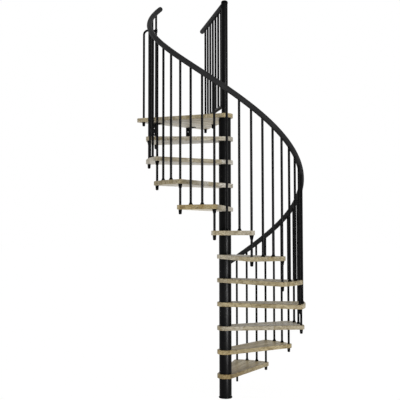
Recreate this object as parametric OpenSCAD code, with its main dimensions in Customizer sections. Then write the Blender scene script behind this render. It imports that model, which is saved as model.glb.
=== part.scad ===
// Spiral staircase with timber treads on a stacked steel column, a landing with a
// straight guard railing, and a helical handrail carried by slim balusters.
// Millimetres, +Z up, origin on the floor in the middle of the base plate.
// The stair climbs clockwise seen from above, and +Y points out of the landing's floor edge.

/* [Stair] */
// Number of treads below the landing
tread_count = 11; // [5:1:13]
// Height from one tread to the next
rise = 208; // [185:1:225]
// Turn from one tread to the next, in degrees
step_angle = 25.35; // [22:0.05:28]
// Radius of the round outer edge of the treads
stair_radius = 700; // [620:5:800]
// Angle of the last long baluster, counted from the landing's outward direction, in degrees
last_baluster_turn = 33; // [28:0.5:40]

/* [Treads] */
// Thickness of the treads and the landing
tread_thick = 36; // [30:1:45]
// Radius of the round hub of the treads and the landing
hub_radius = 72; // [65:1:85]
// Timber beyond the axis of a baluster at a tread's edge
tread_margin = 26; // [20:1:32]
// Radius of a tread's outer corners
tread_corner = 28; // [10:1:40]

/* [Landing] */
// Timber between the last long baluster's axis and the landing's floor edge
landing_margin = 103.4; // [80:0.2:140]
// Room between the landing's front edge and the short baluster beside it
landing_clear = 8.6; // [4:0.2:12]
// Radius of the landing's corners
landing_corner = 20; // [8:1:30]

/* [Column] */
// Diameter of the spacer tubes between the treads
spacer_d = 108; // [95:1:120]
// Wall of the spacer tubes
spacer_wall = 3; // [2:0.5:6]
// Diameter of the core tube that threads all treads
core_d = 57; // [48:1:62]
// Wall of the core tube
core_wall = 3; // [2:0.5:6]
// Height of the core tube above the axis of the railing's top rail
newel_rise = 33; // [33:1:60]
// Height of the domed part of the cap on the core tube
post_cap_rise = 18; // [12:1:30]
// Thickness of the cap's rim round the core tube
post_cap_wall = 2; // [1:0.5:4]
// How far the cap's rim reaches down the core tube
post_cap_skirt = 8; // [4:0.5:9]
// Diameter of the base plate
base_d = 118; // [110:1:180]
// Thickness of the base plate
base_thick = 10; // [6:1:16]
// Diameter of the bolt holes in the base plate
base_bolt_d = 11; // [8:0.5:13]
// Diameter of the circle of bolt holes
base_bolt_circle = 78; // [76:1:82]

/* [Balusters] */
// Diameter of the balusters and the landing's bars
baluster_d = 20; // [16:1:24]
// Distance of the baluster axes from the treads' outer edge
baluster_inset = 28; // [24:1:36]
// Height of a short baluster's foot
foot_h = 16; // [10:1:24]
// Diameter of a foot where it stands on the tread
foot_d = 33; // [30:1:42]
// Height of the collar under the upper tread of a long baluster
collar_h = 34; // [20:1:50]
// Diameter of a collar where it meets the timber
collar_d = 35; // [31:1:40]
// Length of the caps under the treads and the landing
end_cap_h = 40; // [30:1:60]
// Diameter of a cap where it meets the timber
end_cap_d = 29; // [27:0.5:34]
// Thickness of a cap's domed end
end_cap_floor = 6; // [4:0.5:10]
// Height of the straight rim of feet and collars
fitting_rim = 4; // [2:0.5:6]
// Wall of feet, collars and caps at their narrow end
fitting_wall = 2; // [1.5:0.5:3]

/* [Handrail] */
// Height of the handrail's axis above the front of each tread
rail_height = 994; // [900:1:1100]
// Diameter of the handrail
rail_d = 46; // [34:1:50]
// Length of handrail past the first and the last baluster, in degrees
rail_overrun = 7; // [4:0.5:9]

/* [Landing railing] */
// Angle of the straight railing, clockwise from the landing's outward direction, in degrees
railing_turn = 23.5; // [18:0.5:28]
// Distance of the railing's line from the column's axis, towards the side where the steps arrive
railing_offset = 18; // [10:1:24]
// Timber between the outermost bar's axis and the landing's floor edge
bar_margin = 47; // [30:0.5:60]
// Distance of the innermost bar from the column's axis, along the railing
bar_start = 56; // [46:1:90]
// Number of bars
bar_count = 7; // [5:1:7]
// Every so many bars, counted from the outermost, one passes through the landing
through_bar_every = 3; // [2:1:4]
// Timber between a railing bar's axis and the landing's side edge
railing_margin = 31; // [24:1:60]
// Height of the top rail's axis above the landing
top_rail_height = 977; // [880:1:1050]
// Diameter of the top rail
top_rail_d = 46; // [32:1:48]
// Length of top rail past the outermost bar
top_rail_overrun = 162; // [60:1:200]
// Height of the bottom rail's axis above the landing
bottom_rail_height = 73; // [50:1:120]
// Diameter of the bottom rail
bottom_rail_d = 32; // [25:1:36]
// Length of bottom rail past the outermost bar
bottom_rail_overrun = 20; // [12:1:30]

/* [Corner guard] */
// Distance of the guard rod from the landing's floor edge
guard_inset = 58; // [40:1:75]
// Distance of the guard rod from the landing's front edge
guard_margin = 19; // [16:1:30]
// Height of the guard rod's arm above the landing
guard_height = 824; // [700:1:900]
// Radius of the bend at the top of the guard rod
guard_bend = 45; // [30:1:60]

/* [Floor brackets] */
// Distance of the inner bracket from the column's axis, along the floor's edge
bracket_x = 70; // [-60:1:100]
// Room between the outer bracket and the collar beside it
bracket_gap = 6; // [1:0.5:20]
// Width of the flat steel
bracket_w = 46; // [30:1:60]
// Thickness of the flat steel
bracket_thick = 6; // [4:0.5:10]
// Length of the leg that hangs down the floor's edge
bracket_drop = 108; // [100:1:150]
// Length of the leg under the landing
bracket_arm = 106; // [100:1:200]
// Diameter of the holes in both legs
bracket_hole_d = 9; // [6:0.5:12]
// Distance between the holes of one leg
bracket_hole_pitch = 50; // [40:1:55]
// Distance of the first hole from the bend's inner corner
bracket_hole_start = 32; // [20:1:36]

/* [Fits] */
// Room round a tube in the bore that it passes
bore_clear = 0.2; // [0.1:0.05:0.3]
// Room between a coped tube end and the tube that it meets
cope_clear = 0.2; // [0.1:0.05:0.3]

/* [Hidden] */
$fn = 64;

per_step = 3;
last_k = per_step * tread_count;
baluster_radius = stair_radius - baluster_inset;
landing_reach = baluster_radius * cos(last_baluster_turn) + landing_margin;
railing_reach = (landing_reach - bar_margin - railing_offset * sin(railing_turn)) / cos(railing_turn);
landing_top = (tread_count + 1) * rise;
landing_under = landing_top - tread_thick;
core_bore = core_d + 2 * bore_clear;
baluster_bore = baluster_d + 2 * bore_clear;
rail_slope = atan(rise / (baluster_radius * step_angle * PI / 180));
newel_top = landing_top + top_rail_height + newel_rise;
fitting_narrow = baluster_bore / 2 + fitting_wall;
// How far cutters reach past a face, and the length of cutters that cope a tube's end
past = 1;
cope_length = 6 * baluster_d;
steel = [0.11, 0.11, 0.12];
timber = [0.74, 0.62, 0.46];
plastic = [0.14, 0.14, 0.15];

function two_digits(n) = n < 10 ? str("0", n) : str(n);
function tread_name(n) = str("tread_", two_digits(n));
function balusters_name(n) = str("balusters_", two_digits(n));
function along(a, r) = [r * cos(a), r * sin(a)];
function bearing(p) = atan2(p[1], p[0]);
// Angle of baluster k; baluster 0 stands on the floor and the stair turns clockwise upwards
function baluster_angle(k) = 90 + last_baluster_turn + (last_k - k) * step_angle / per_step;
function is_long(k) = k % per_step == 0;
function tread_top(n) = n * rise;
function tread_under(n) = tread_top(n) - tread_thick;
function rail_z(k) = rise + rail_height + rise * k / per_step;
function baluster_at(k) = along(baluster_angle(k), baluster_radius);
function arc(c, r, from, to, n) = [for (i = [0 : n]) c + along(from + (to - from) * i / n, r)];
function reversed(list) = [for (i = [len(list) - 1 : -1 : 0]) list[i]];

// Angles of the landing's front edge, tangent to the hub and clear of the short baluster beside it,
// and of its side edge, which runs beside the railing
front_edge = baluster_angle(last_k - 1)
    - asin((hub_radius + baluster_d / 2 + landing_clear) / baluster_radius);
railing_angle = 90 - railing_turn;
// Point of the railing's line, and axis of one of its bars, counted from the outermost
function railing_at(r) = along(railing_angle, r) + along(railing_angle + 90, railing_offset);
function bar_run(i) = railing_reach - i * (railing_reach - bar_start) / (bar_count - 1);
function bar_at(i) = railing_at(bar_run(i));
side_edge = bearing(bar_at(0)) + asin((hub_radius - railing_margin) / norm(bar_at(0)));
function is_through(i) = i % through_bar_every == 0 && i < 2 * through_bar_every;

// Point at a distance inside the landing's floor edge and its front edge
function landing_front_point(from_floor, from_front) =
    let (off = along(front_edge + 90, hub_radius - from_front))
    let (run = (landing_reach - from_floor - off[1]) / sin(front_edge))
    off + along(front_edge, run);
function landing_side_point(from_floor, from_side) =
    let (off = along(side_edge - 90, hub_radius - from_side))
    let (run = (landing_reach - from_floor - off[1]) / sin(side_edge))
    off + along(side_edge, run);
guard_at = landing_front_point(guard_inset, guard_margin);

// Tread outline about its own middle line: a hub, two tangent edges, rounded corners and a round nose
function tread_outline() =
    let (edge = step_angle / 2 - asin((hub_radius - tread_margin) / baluster_radius))
    let (off = hub_radius - tread_corner)
    let (run = sqrt(pow(stair_radius - tread_corner, 2) - off * off))
    let (corner = along(edge, run) + along(edge + 90, off))
    let (turn = bearing(corner))
    let (nose = turn * 5 / 6)
    concat(
        arc([corner[0], -corner[1]], tread_corner, -edge - 90, -turn, 6),
        arc([0, 0], stair_radius, -nose, nose, 10),
        arc(corner, tread_corner, turn, edge + 90, 6),
        arc([0, 0], hub_radius, edge + 90, 270 - edge, 24)
    );

function landing_outline() =
    concat(
        arc(landing_side_point(landing_corner, landing_corner), landing_corner, side_edge - 90, 90, 6),
        arc(landing_front_point(landing_corner, landing_corner), landing_corner, 90, front_edge + 90, 6),
        arc([0, 0], hub_radius, front_edge + 90, side_edge + 270, 24)
    );

module at(p, z = 0) {
    translate([p[0], p[1], z])
        children();
}

// Steel plate on the floor, bolted down inside the first spacer
module base_plate() {
    color(steel)
        difference() {
            cylinder(d = base_d, h = base_thick);
            for (i = [0 : 3])
                at(along(45 + 90 * i, base_bolt_circle / 2), -past)
                    cylinder(d = base_bolt_d, h = base_thick + 2 * past);
        }
}

// Tube that threads the treads and rises above the landing as its newel
module core_tube() {
    length = newel_top - base_thick;
    color(steel)
        translate([0, 0, base_thick])
            difference() {
                cylinder(d = core_d, h = length);
                translate([0, 0, -past])
                    cylinder(d = core_d - 2 * core_wall, h = length + 2 * past);
            }
}

// Domed cap over the top of the core tube
module post_cap() {
    outer = core_bore / 2 + post_cap_wall;
    dome = (outer * outer + post_cap_rise * post_cap_rise) / (2 * post_cap_rise);
    color(plastic)
        difference() {
            translate([0, 0, newel_top - post_cap_skirt])
                rotate_extrude()
                    union() {
                        square([outer, post_cap_skirt]);
                        intersection() {
                            translate([0, post_cap_skirt + post_cap_rise - dome])
                                circle(r = dome);
                            translate([0, post_cap_skirt])
                                square([outer, post_cap_rise]);
                        }
                    }
            translate([0, 0, newel_top - post_cap_skirt - past])
                cylinder(d = core_bore, h = post_cap_skirt + past);
        }
}

// Tubes stacked between the treads
module column_spacers() {
    color(steel)
        for (n = [1 : tread_count + 1]) {
            bottom = n == 1 ? base_thick : tread_top(n - 1);
            length = tread_under(n) - bottom;
            translate([0, 0, bottom])
                difference() {
                    cylinder(d = spacer_d, h = length);
                    translate([0, 0, -past])
                        cylinder(d = spacer_d - 2 * spacer_wall, h = length + 2 * past);
                }
        }
}

// Timber tread with bores for the core tube and for the long balusters at its two corners
module tread(n) {
    middle = baluster_angle(per_step * (n - 0.5));
    color(timber)
        difference() {
            translate([0, 0, tread_under(n)])
                rotate(middle)
                    linear_extrude(tread_thick)
                        polygon(tread_outline());
            translate([0, 0, tread_under(n) - past])
                cylinder(d = core_bore, h = tread_thick + 2 * past);
            for (k = [per_step * (n - 1), per_step * n])
                at(baluster_at(k), tread_under(n) - past)
                    cylinder(d = baluster_bore, h = tread_thick + 2 * past);
        }
}

// Timber landing with bores for the core tube, the last baluster, the through bars and the guard rod
module landing() {
    through = [for (i = [0 : bar_count - 1]) if (is_through(i)) bar_at(i)];
    color(timber)
        difference() {
            translate([0, 0, landing_under])
                linear_extrude(tread_thick)
                    polygon(landing_outline());
            translate([0, 0, landing_under - past])
                cylinder(d = core_bore, h = tread_thick + 2 * past);
            for (p = concat([baluster_at(last_k), guard_at], through))
                at(p, landing_under - past)
                    cylinder(d = baluster_bore, h = tread_thick + 2 * past);
        }
}

// Height at which a tube ends inside the cap under a tread or the landing
function cap_seat(under) = under - end_cap_h + end_cap_floor;
// The first baluster stands on the floor, the short ones on a tread, and the long ones end in a cap
function baluster_bottom(k) =
    k == 0 ? 0
    : is_long(k) ? cap_seat(tread_under(k / per_step))
    : tread_top(ceil(k / per_step));

// One baluster, coped at its top to the handrail
module baluster(k) {
    bottom = baluster_bottom(k);
    rotate(baluster_angle(k))
        translate([baluster_radius, 0, 0])
            difference() {
                translate([0, 0, bottom])
                    cylinder(d = baluster_d, h = rail_z(k) - bottom);
                translate([0, 0, rail_z(k)])
                    rotate([90 - rail_slope, 0, 0])
                        cylinder(d = rail_d + 2 * cope_clear, h = cope_length, center = true);
            }
}

// The long baluster at a tread's front corner and the short ones on that tread
module balusters(n) {
    first = per_step * (n - 1);
    color(steel)
        for (k = [first : min(first + per_step - 1, last_k)])
            baluster(k);
}

// Cup at the bottom of a short baluster, wide on the timber and narrow at the top
module foot() {
    bore = baluster_bore / 2;
    wide = foot_d / 2;
    rotate_extrude()
        polygon([[bore, 0], [wide, 0], [wide, fitting_rim], [fitting_narrow, foot_h], [bore, foot_h]]);
}

module baluster_feet() {
    color(plastic)
        for (k = [0 : last_k])
            if (!is_long(k))
                at(baluster_at(k), baluster_bottom(k))
                    foot();
}

// Cone that a long baluster passes under its upper tread
module collar() {
    bore = baluster_bore / 2;
    wide = collar_d / 2;
    mirror([0, 0, 1])
        rotate_extrude()
            polygon([[bore, 0], [wide, 0], [wide, fitting_rim],
                     [fitting_narrow, collar_h], [bore, collar_h]]);
}

module baluster_collars() {
    color(plastic)
        for (n = [1 : tread_count + 1])
            at(baluster_at(per_step * (n - 1)), tread_under(n))
                collar();
}

// Cup with a domed end under the timber, which closes a tube that passes through it
module end_cap() {
    straight = end_cap_h - end_cap_floor;
    dome = (fitting_narrow * fitting_narrow + end_cap_floor * end_cap_floor) / (2 * end_cap_floor);
    mirror([0, 0, 1])
        difference() {
            rotate_extrude()
                union() {
                    polygon([[0, 0], [end_cap_d / 2, 0], [fitting_narrow, straight], [0, straight]]);
                    intersection() {
                        translate([0, end_cap_h - dome])
                            circle(r = dome);
                        translate([0, straight])
                            square([fitting_narrow, end_cap_floor]);
                    }
                }
            translate([0, 0, -past])
                cylinder(d = baluster_bore, h = straight + past);
        }
}

module baluster_end_caps() {
    color(plastic)
        for (n = [1 : tread_count])
            at(baluster_at(per_step * n), tread_under(n))
                end_cap();
}

// Helical handrail: a round section carried along the helix, with domed ends
rail_sides = 20;
rings_per_baluster = 3;
overrun_k = rail_overrun * per_step / step_angle;
rail_ks = concat(
    [-overrun_k, -overrun_k / 2],
    [for (i = [0 : last_k * rings_per_baluster]) i / rings_per_baluster],
    [last_k + overrun_k / 2, last_k + overrun_k]
);
dome_turns = [75, 50, 25];
function rail_tangent(a) = [sin(a) * cos(rail_slope), -cos(a) * cos(rail_slope), sin(rail_slope)];
// Ring of points at baluster count k, shrunk and pushed along the tangent at a dome
function rail_ring(k, dome = 0) =
    let (a = baluster_angle(k))
    let (out = [cos(a), sin(a), 0])
    let (t = rail_tangent(a))
    let (up = cross(out, t))
    let (c = baluster_radius * out + [0, 0, rail_z(k)] + t * rail_d / 2 * sin(dome))
    let (r = rail_d / 2 * cos(dome))
    [for (i = [0 : rail_sides - 1])
        let (turn = 360 * i / rail_sides)
        c + r * (cos(turn) * out + sin(turn) * up)];

module handrail() {
    rings = concat(
        [for (d = dome_turns) rail_ring(rail_ks[0], -d)],
        [for (k = rail_ks) rail_ring(k)],
        [for (d = reversed(dome_turns)) rail_ring(rail_ks[len(rail_ks) - 1], d)]
    );
    last = len(rings) - 1;
    sides = [for (i = [0 : last - 1], j = [0 : rail_sides - 1])
        let (m = (j + 1) % rail_sides)
        [i * rail_sides + j, i * rail_sides + m, (i + 1) * rail_sides + m, (i + 1) * rail_sides + j]];
    ends = [
        [for (j = [rail_sides - 1 : -1 : 0]) j],
        [for (j = [0 : rail_sides - 1]) last * rail_sides + j]
    ];
    color(plastic)
        polyhedron([for (r = rings, p = r) p], concat(sides, ends));
}

// Straight round rail out from the core tube, coped there and domed at its free end
module straight_rail(d, reach) {
    rotate(railing_angle)
        difference() {
            translate([0, railing_offset, 0])
                rotate([0, 90, 0])
                    rotate_extrude()
                        union() {
                            square([d / 2, reach - d / 2]);
                            intersection() {
                                translate([0, reach - d / 2])
                                    circle(d = d);
                                translate([0, reach - d / 2])
                                    square([d / 2, d / 2]);
                            }
                        }
            cylinder(d = core_d + 2 * cope_clear, h = cope_length, center = true);
        }
}

module railing_top_rail() {
    color(plastic)
        translate([0, 0, landing_top + top_rail_height])
            straight_rail(top_rail_d, railing_reach + top_rail_overrun);
}

module railing_bottom_rail() {
    color(steel)
        difference() {
            translate([0, 0, landing_top + bottom_rail_height])
                straight_rail(bottom_rail_d, railing_reach + bottom_rail_overrun);
            for (i = [0 : bar_count - 1])
                if (is_through(i))
                    at(bar_at(i), landing_top)
                        cylinder(d = baluster_bore, h = 2 * bottom_rail_height);
        }
}

// Room that a rail of a given diameter takes up where a bar meets it
module lying_cutter(d, z) {
    translate([0, 0, z])
        rotate([0, 90, 0])
            cylinder(d = d + 2 * cope_clear, h = cope_length, center = true);
}

// Bars coped to the top rail; most end coped on the bottom rail, and some pass through the landing
module railing_bars() {
    top = landing_top + top_rail_height;
    low = landing_top + bottom_rail_height;
    color(steel)
        for (i = [0 : bar_count - 1]) {
            bottom = is_through(i) ? cap_seat(landing_under) : low;
            rotate(railing_angle)
                translate([bar_run(i), railing_offset, 0])
                    difference() {
                        translate([0, 0, bottom])
                            cylinder(d = baluster_d, h = top - bottom);
                        lying_cutter(top_rail_d, top);
                        if (!is_through(i))
                            lying_cutter(bottom_rail_d, low);
                    }
        }
}

module railing_end_caps() {
    color(plastic)
        for (i = [0 : bar_count - 1])
            if (is_through(i))
                at(bar_at(i), landing_under)
                    end_cap();
}

// Bent rod that closes the corner between the landing's edge and the last long baluster
module corner_guard_rod() {
    reach = baluster_at(last_k) - guard_at;
    span = norm(reach);
    arm = landing_top + guard_height;
    bottom = cap_seat(landing_under);
    color(steel)
        at(guard_at)
            rotate(bearing(reach))
                difference() {
                    union() {
                        translate([0, 0, bottom])
                            cylinder(d = baluster_d, h = arm - guard_bend - bottom);
                        translate([guard_bend, 0, arm - guard_bend])
                            rotate([90, 0, 0])
                                rotate_extrude(angle = 90, start = 90)
                                    translate([guard_bend, 0])
                                        circle(d = baluster_d);
                        translate([guard_bend, 0, arm])
                            rotate([0, 90, 0])
                                cylinder(d = baluster_d, h = span - guard_bend);
                    }
                    translate([span, 0, arm])
                        cylinder(d = baluster_d + 2 * cope_clear, h = cope_length, center = true);
                }
}

module corner_guard_cap() {
    color(plastic)
        at(guard_at, landing_under)
            end_cap();
}

// Flat steel angle under the landing, whose hanging leg is bolted to the edge of the floor
module floor_bracket() {
    difference() {
        translate([-bracket_w / 2, 0, 0])
            union() {
                translate([0, -bracket_arm, -bracket_thick])
                    cube([bracket_w, bracket_arm, bracket_thick]);
                translate([0, -bracket_thick, -bracket_drop])
                    cube([bracket_w, bracket_thick, bracket_drop]);
            }
        for (i = [0 : 1]) {
            hole = bracket_hole_start + i * bracket_hole_pitch;
            translate([0, -bracket_thick - hole, -bracket_thick - past])
                cylinder(d = bracket_hole_d, h = bracket_thick + 2 * past);
            translate([0, past, -bracket_thick - hole])
                rotate([90, 0, 0])
                    cylinder(d = bracket_hole_d, h = bracket_thick + 2 * past);
        }
    }
}

module floor_brackets() {
    beside_collar = baluster_at(last_k)[0] + collar_d / 2 + bracket_gap + bracket_w / 2;
    color(steel)
        for (x = [bracket_x, beside_collar])
            translate([x, landing_reach, landing_under])
                floor_bracket();
}

base_plate();
core_tube();
post_cap();
column_spacers();
for (n = [1 : tread_count])
    tread(n);
landing();
for (n = [1 : tread_count + 1])
    balusters(n);
baluster_feet();
baluster_collars();
baluster_end_caps();
handrail();
railing_top_rail();
railing_bottom_rail();
railing_bars();
railing_end_caps();
corner_guard_rod();
corner_guard_cap();
floor_brackets();
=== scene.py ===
"""Spiral staircase: laminated timber treads on a black steel column, dressed for a studio picture."""

import logging
import math
from collections.abc import Iterator
from dataclasses import dataclass, field
from enum import Enum

import bpy
import numpy as np
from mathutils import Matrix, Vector
from mathutils.geometry import tessellate_polygon


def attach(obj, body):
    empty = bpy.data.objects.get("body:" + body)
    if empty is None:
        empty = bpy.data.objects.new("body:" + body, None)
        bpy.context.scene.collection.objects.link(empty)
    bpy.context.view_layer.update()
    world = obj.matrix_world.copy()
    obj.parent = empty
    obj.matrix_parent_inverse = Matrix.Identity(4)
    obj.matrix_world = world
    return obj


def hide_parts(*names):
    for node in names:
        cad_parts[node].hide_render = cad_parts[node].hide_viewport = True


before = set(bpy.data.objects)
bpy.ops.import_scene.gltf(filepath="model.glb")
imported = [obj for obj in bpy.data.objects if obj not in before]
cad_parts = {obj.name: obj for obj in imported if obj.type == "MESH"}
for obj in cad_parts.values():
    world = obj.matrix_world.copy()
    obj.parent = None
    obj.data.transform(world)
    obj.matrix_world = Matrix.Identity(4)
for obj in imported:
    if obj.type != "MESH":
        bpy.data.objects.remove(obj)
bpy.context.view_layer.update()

log = logging.getLogger("spiral_stair")
Array = np.ndarray
Socket = bpy.types.NodeSocket
Value = Socket | float | tuple
Pair = tuple[float, float]
Triple = tuple[float, float, float]
Rgb = tuple[int, int, int]

BODY = "root"
UP = np.array([0.0, 0.0, 1.0])
AXIS = np.zeros(2)
UNIT = (0.0, 1.0)
WHITE = (1.0, 1.0, 1.0, 1.0)
TOUCH = 1e-6
SHARP = 40.0
SCREW_SIDES, ROD_SIDES, FITTING_SIDES, RAIL_SIDES, TUBE_SIDES, SPACER_SIDES = 20, 24, 28, 32, 48, 64


class Slot(Enum):
    """Material slots."""

    STEEL = "painted_steel"
    TIMBER = "timber"
    RAIL = "rail_plastic"
    FITTING = "fitting_plastic"


class Sheen(Enum):
    """Groups of pieces that have a strip lamp of their own for their sheen."""

    COLUMN = "sheened_pieces"
    RODS = "glinting_pieces"


def along(angle: Array | float, radius: Array | float) -> Array:
    """Plan point at a direction in degrees and a distance from the column's axis."""
    a = np.radians(np.asarray(angle, float))
    return np.stack([radius * np.cos(a), radius * np.sin(a)], -1)


def placed(plan: Array, height: Array | float) -> Array:
    """Points over plan points (..., 2), at one height or at a height for each."""
    z = np.broadcast_to(np.asarray(height, float), plan.shape[:-1])
    return np.concatenate([plan, z[..., None]], -1)


def full_turn(sides: int) -> Array:
    """Directions of a full turn in equal parts, in degrees."""
    return 360.0 * np.arange(sides) / sides


@dataclass(frozen=True)
class StairSizes:
    """Sizes of the stair in metres and degrees, as in the part's source."""

    treads: int = 11
    per_step: int = 3  # balusters
    rise: float = 0.208
    step_angle: float = 25.35
    radius: float = 0.700
    last_turn: float = 33.0  # of the last baluster from +Y
    thick: float = 0.036
    hub: float = 0.072
    margin: float = 0.026  # from a tread's edge to its baluster's axis
    corner: float = 0.028
    landing_margin: float = 0.1034  # from the last baluster's axis to the floor edge
    landing_clear: float = 0.0086  # from the front edge to the baluster before it
    landing_corner: float = 0.020
    rod: float = 0.010
    rod_inset: float = 0.028
    bore_clear: float = 0.0002
    core: float = 0.0285
    rail: float = 0.023
    rail_height: float = 0.994
    rail_overrun: float = 7.0  # past the first and the last baluster
    railing_turn: float = 23.5  # from +Y
    railing_offset: float = 0.018  # of the railing's line from the column's axis
    bar_margin: float = 0.047  # from the floor edge to the outermost bar
    bar_start: float = 0.056  # of the innermost bar along the railing
    bars: int = 7
    through_every: int = 3  # bars, of which the first passes through the landing
    through_count: int = 2
    railing_margin: float = 0.031  # from the side edge to the outermost bar
    top_rail_height: float = 0.977
    guard_inset: float = 0.058  # from the floor edge
    guard_margin: float = 0.019  # from the front edge
    cap_height: float = 0.040
    cap_floor: float = 0.006

    @property
    def last(self) -> int:
        """Number of the last long baluster."""
        return self.per_step * self.treads

    @property
    def rod_radius(self) -> float:
        """Distance of the baluster axes from the column's axis."""
        return self.radius - self.rod_inset

    @property
    def rod_bore(self) -> float:
        """Radius of the bore that a rod passes."""
        return self.rod + self.bore_clear

    @property
    def core_bore(self) -> float:
        """Radius of the bore that the core tube passes."""
        return self.core + self.bore_clear

    @property
    def seat_depth(self) -> float:
        """Depth of a rod's seat in an end cap below the timber."""
        return self.cap_height - self.cap_floor

    @property
    def landing_top(self) -> float:
        """Height of the landing's upper face."""
        return (self.treads + 1) * self.rise

    @property
    def landing_under(self) -> float:
        """Height of the landing's lower face."""
        return self.landing_top - self.thick

    @property
    def landing_reach(self) -> float:
        """Distance of the landing's floor edge from the column's axis."""
        return self.rod_radius * math.cos(math.radians(self.last_turn)) + self.landing_margin

    @property
    def railing_reach(self) -> float:
        """Distance of the outermost railing bar from the column's axis, along the railing."""
        turn = math.radians(self.railing_turn)
        return (self.landing_reach - self.bar_margin - self.railing_offset * math.sin(turn)) / math.cos(turn)

    @property
    def railing_angle(self) -> float:
        """Direction of the straight railing in degrees."""
        return 90.0 - self.railing_turn

    @property
    def rail_slope(self) -> float:
        """Slope of the handrail in radians."""
        return math.atan2(self.rise, self.rod_radius * math.radians(self.step_angle))

    @property
    def front_edge(self) -> float:
        """Direction of the landing's front edge in degrees."""
        clear = self.hub + self.rod + self.landing_clear
        return float(self.rod_angle(self.last - 1)) - math.degrees(math.asin(clear / self.rod_radius))

    @property
    def side_edge(self) -> float:
        """Direction of the landing's side edge in degrees."""
        x, y = self.railing_at(self.railing_reach)
        return math.degrees(math.atan2(y, x) + math.asin((self.hub - self.railing_margin) / math.hypot(x, y)))

    def rod_angle(self, k: Array | float) -> Array:
        """Direction of baluster k in degrees."""
        return 90.0 + self.last_turn + (self.last - np.asarray(k, float)) * self.step_angle / self.per_step

    def rod_at(self, k: Array | float) -> Array:
        """Plan point of baluster k."""
        return along(self.rod_angle(k), self.rod_radius)

    def rail_z(self, k: Array | float) -> Array:
        """Height of the handrail's axis over baluster k."""
        return self.rise + self.rail_height + self.rise * np.asarray(k, float) / self.per_step

    def tread_under(self, n: Array | int) -> Array:
        """Height of the lower face of tread n; the landing counts as the one after the last."""
        return np.asarray(n) * self.rise - self.thick

    def is_long(self, k: int) -> bool:
        """Whether baluster k is a long one, at the corners of the boards."""
        return k % self.per_step == 0

    def railing_at(self, run: Array | float) -> Array:
        """Plan point of the railing's line, which passes beside the column's axis."""
        return along(self.railing_angle, run) + along(self.railing_angle + 90.0, self.railing_offset)

    def bar_runs(self) -> Array:
        """Distances of the railing bars along the railing, outermost first."""
        return np.linspace(self.railing_reach, self.bar_start, self.bars)

    def through_bars(self) -> Array:
        """Which bars pass through the landing."""
        i = np.arange(self.bars)
        return (i % self.through_every == 0) & (i < self.through_count * self.through_every)

    def through_at(self) -> Array:
        """Plan points of the bars that pass through the landing."""
        return self.railing_at(self.bar_runs()[self.through_bars()])

    def landing_point(self, edge: float, side: float, from_floor: float, from_edge: float) -> Array:
        """Point inside the landing's floor edge and one of its long edges.

        Args:
            edge: direction of the long edge in degrees.
            side: +1 for the front edge, which lies to the left of its direction, -1 for the other.
            from_floor: distance inside the floor edge.
            from_edge: distance inside the long edge.

        Returns:
            The plan point.
        """
        off = along(edge + 90.0 * side, self.hub - from_edge)
        run = (self.landing_reach - from_floor - off[1]) / math.sin(math.radians(edge))
        return off + along(edge, run)

    def guard_at(self) -> Array:
        """Plan point of the corner guard's rod."""
        return self.landing_point(self.front_edge, 1.0, self.guard_inset, self.guard_margin)


@dataclass
class Shell:
    """One surface: points (n, 3), quads (m, 4) and triangles (k, 3), and normals and point values, if any."""

    points: Array
    quads: Array = field(default_factory=lambda: np.zeros((0, 4), int))
    tris: Array = field(default_factory=lambda: np.zeros((0, 3), int))
    normals: Array | None = None
    values: dict[str, Array] = field(default_factory=dict)

    def repeated(self, offsets: Array) -> "Shell":
        """Copies of the shell, one at each offset.

        Args:
            offsets: an (m, 3) array, or one offset.

        Returns:
            One shell with all the copies.
        """
        offsets = np.reshape(offsets, (-1, 3))
        step = len(self.points) * np.arange(len(offsets))[:, None, None]
        points = (self.points[None] + offsets[:, None]).reshape(-1, 3)
        quads, tris = ((faces + step).reshape(-1, faces.shape[1]) for faces in (self.quads, self.tris))
        return Shell(points, quads, tris)

    def object(self, name: str, sharp: float = SHARP) -> bpy.types.Object:
        """Mesh object of the shell, smooth apart from edges past an angle.

        Args:
            name: the piece's name.
            sharp: angle in degrees past which an edge is sharp.

        Returns:
            The linked object.
        """
        mesh = bpy.data.meshes.new(name)
        mesh.from_pydata(self.points.tolist(), [], self.quads.tolist() + self.tris.tolist())
        mesh.shade_smooth()
        mesh.set_sharp_from_angle(angle=math.radians(sharp))
        for key, value in self.values.items():
            kind, slot = ("FLOAT_VECTOR", "vector") if value.ndim == 2 else ("FLOAT", "value")
            layer = mesh.attributes.new(key, kind, "POINT")
            layer.data.foreach_set(slot, value.astype(np.float32).ravel())
        if self.normals is not None:
            mesh.normals_split_custom_set_from_vertices(self.normals.tolist())
        mesh.validate()
        made = bpy.data.objects.new(name, mesh)
        bpy.context.scene.collection.objects.link(made)
        return made


def joined(shells: list[Shell]) -> Shell:
    """One shell from several, with their faces renumbered.

    Args:
        shells: shells without normals or values.

    Returns:
        The shell of all their faces.
    """
    starts = np.cumsum([0] + [len(s.points) for s in shells[:-1]])
    return Shell(
        np.concatenate([s.points for s in shells]),
        np.concatenate([s.quads + a for s, a in zip(shells, starts)]),
        np.concatenate([s.tris + a for s, a in zip(shells, starts)]),
    )


def grid_quads(rows: int, columns: int, wrap_rows: bool = False) -> Array:
    """Quads of a grid whose columns wrap round.

    Quad (i, j) joins rows i and i + 1 and columns j and j + 1, each taken modulo its count where it wraps.

    Args:
        rows: number of rings.
        columns: points in a ring.
        wrap_rows: whether the last ring joins the first.

    Returns:
        An (m, 4) array of indices.
    """
    i = np.arange(rows if wrap_rows else rows - 1)[:, None]
    j = np.arange(columns)[None]
    right = (j + 1) % columns
    row, above = i * columns, (i + 1) % rows * columns
    return np.stack([row + j, row + right, above + right, above + j], -1).reshape(-1, 4)


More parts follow.
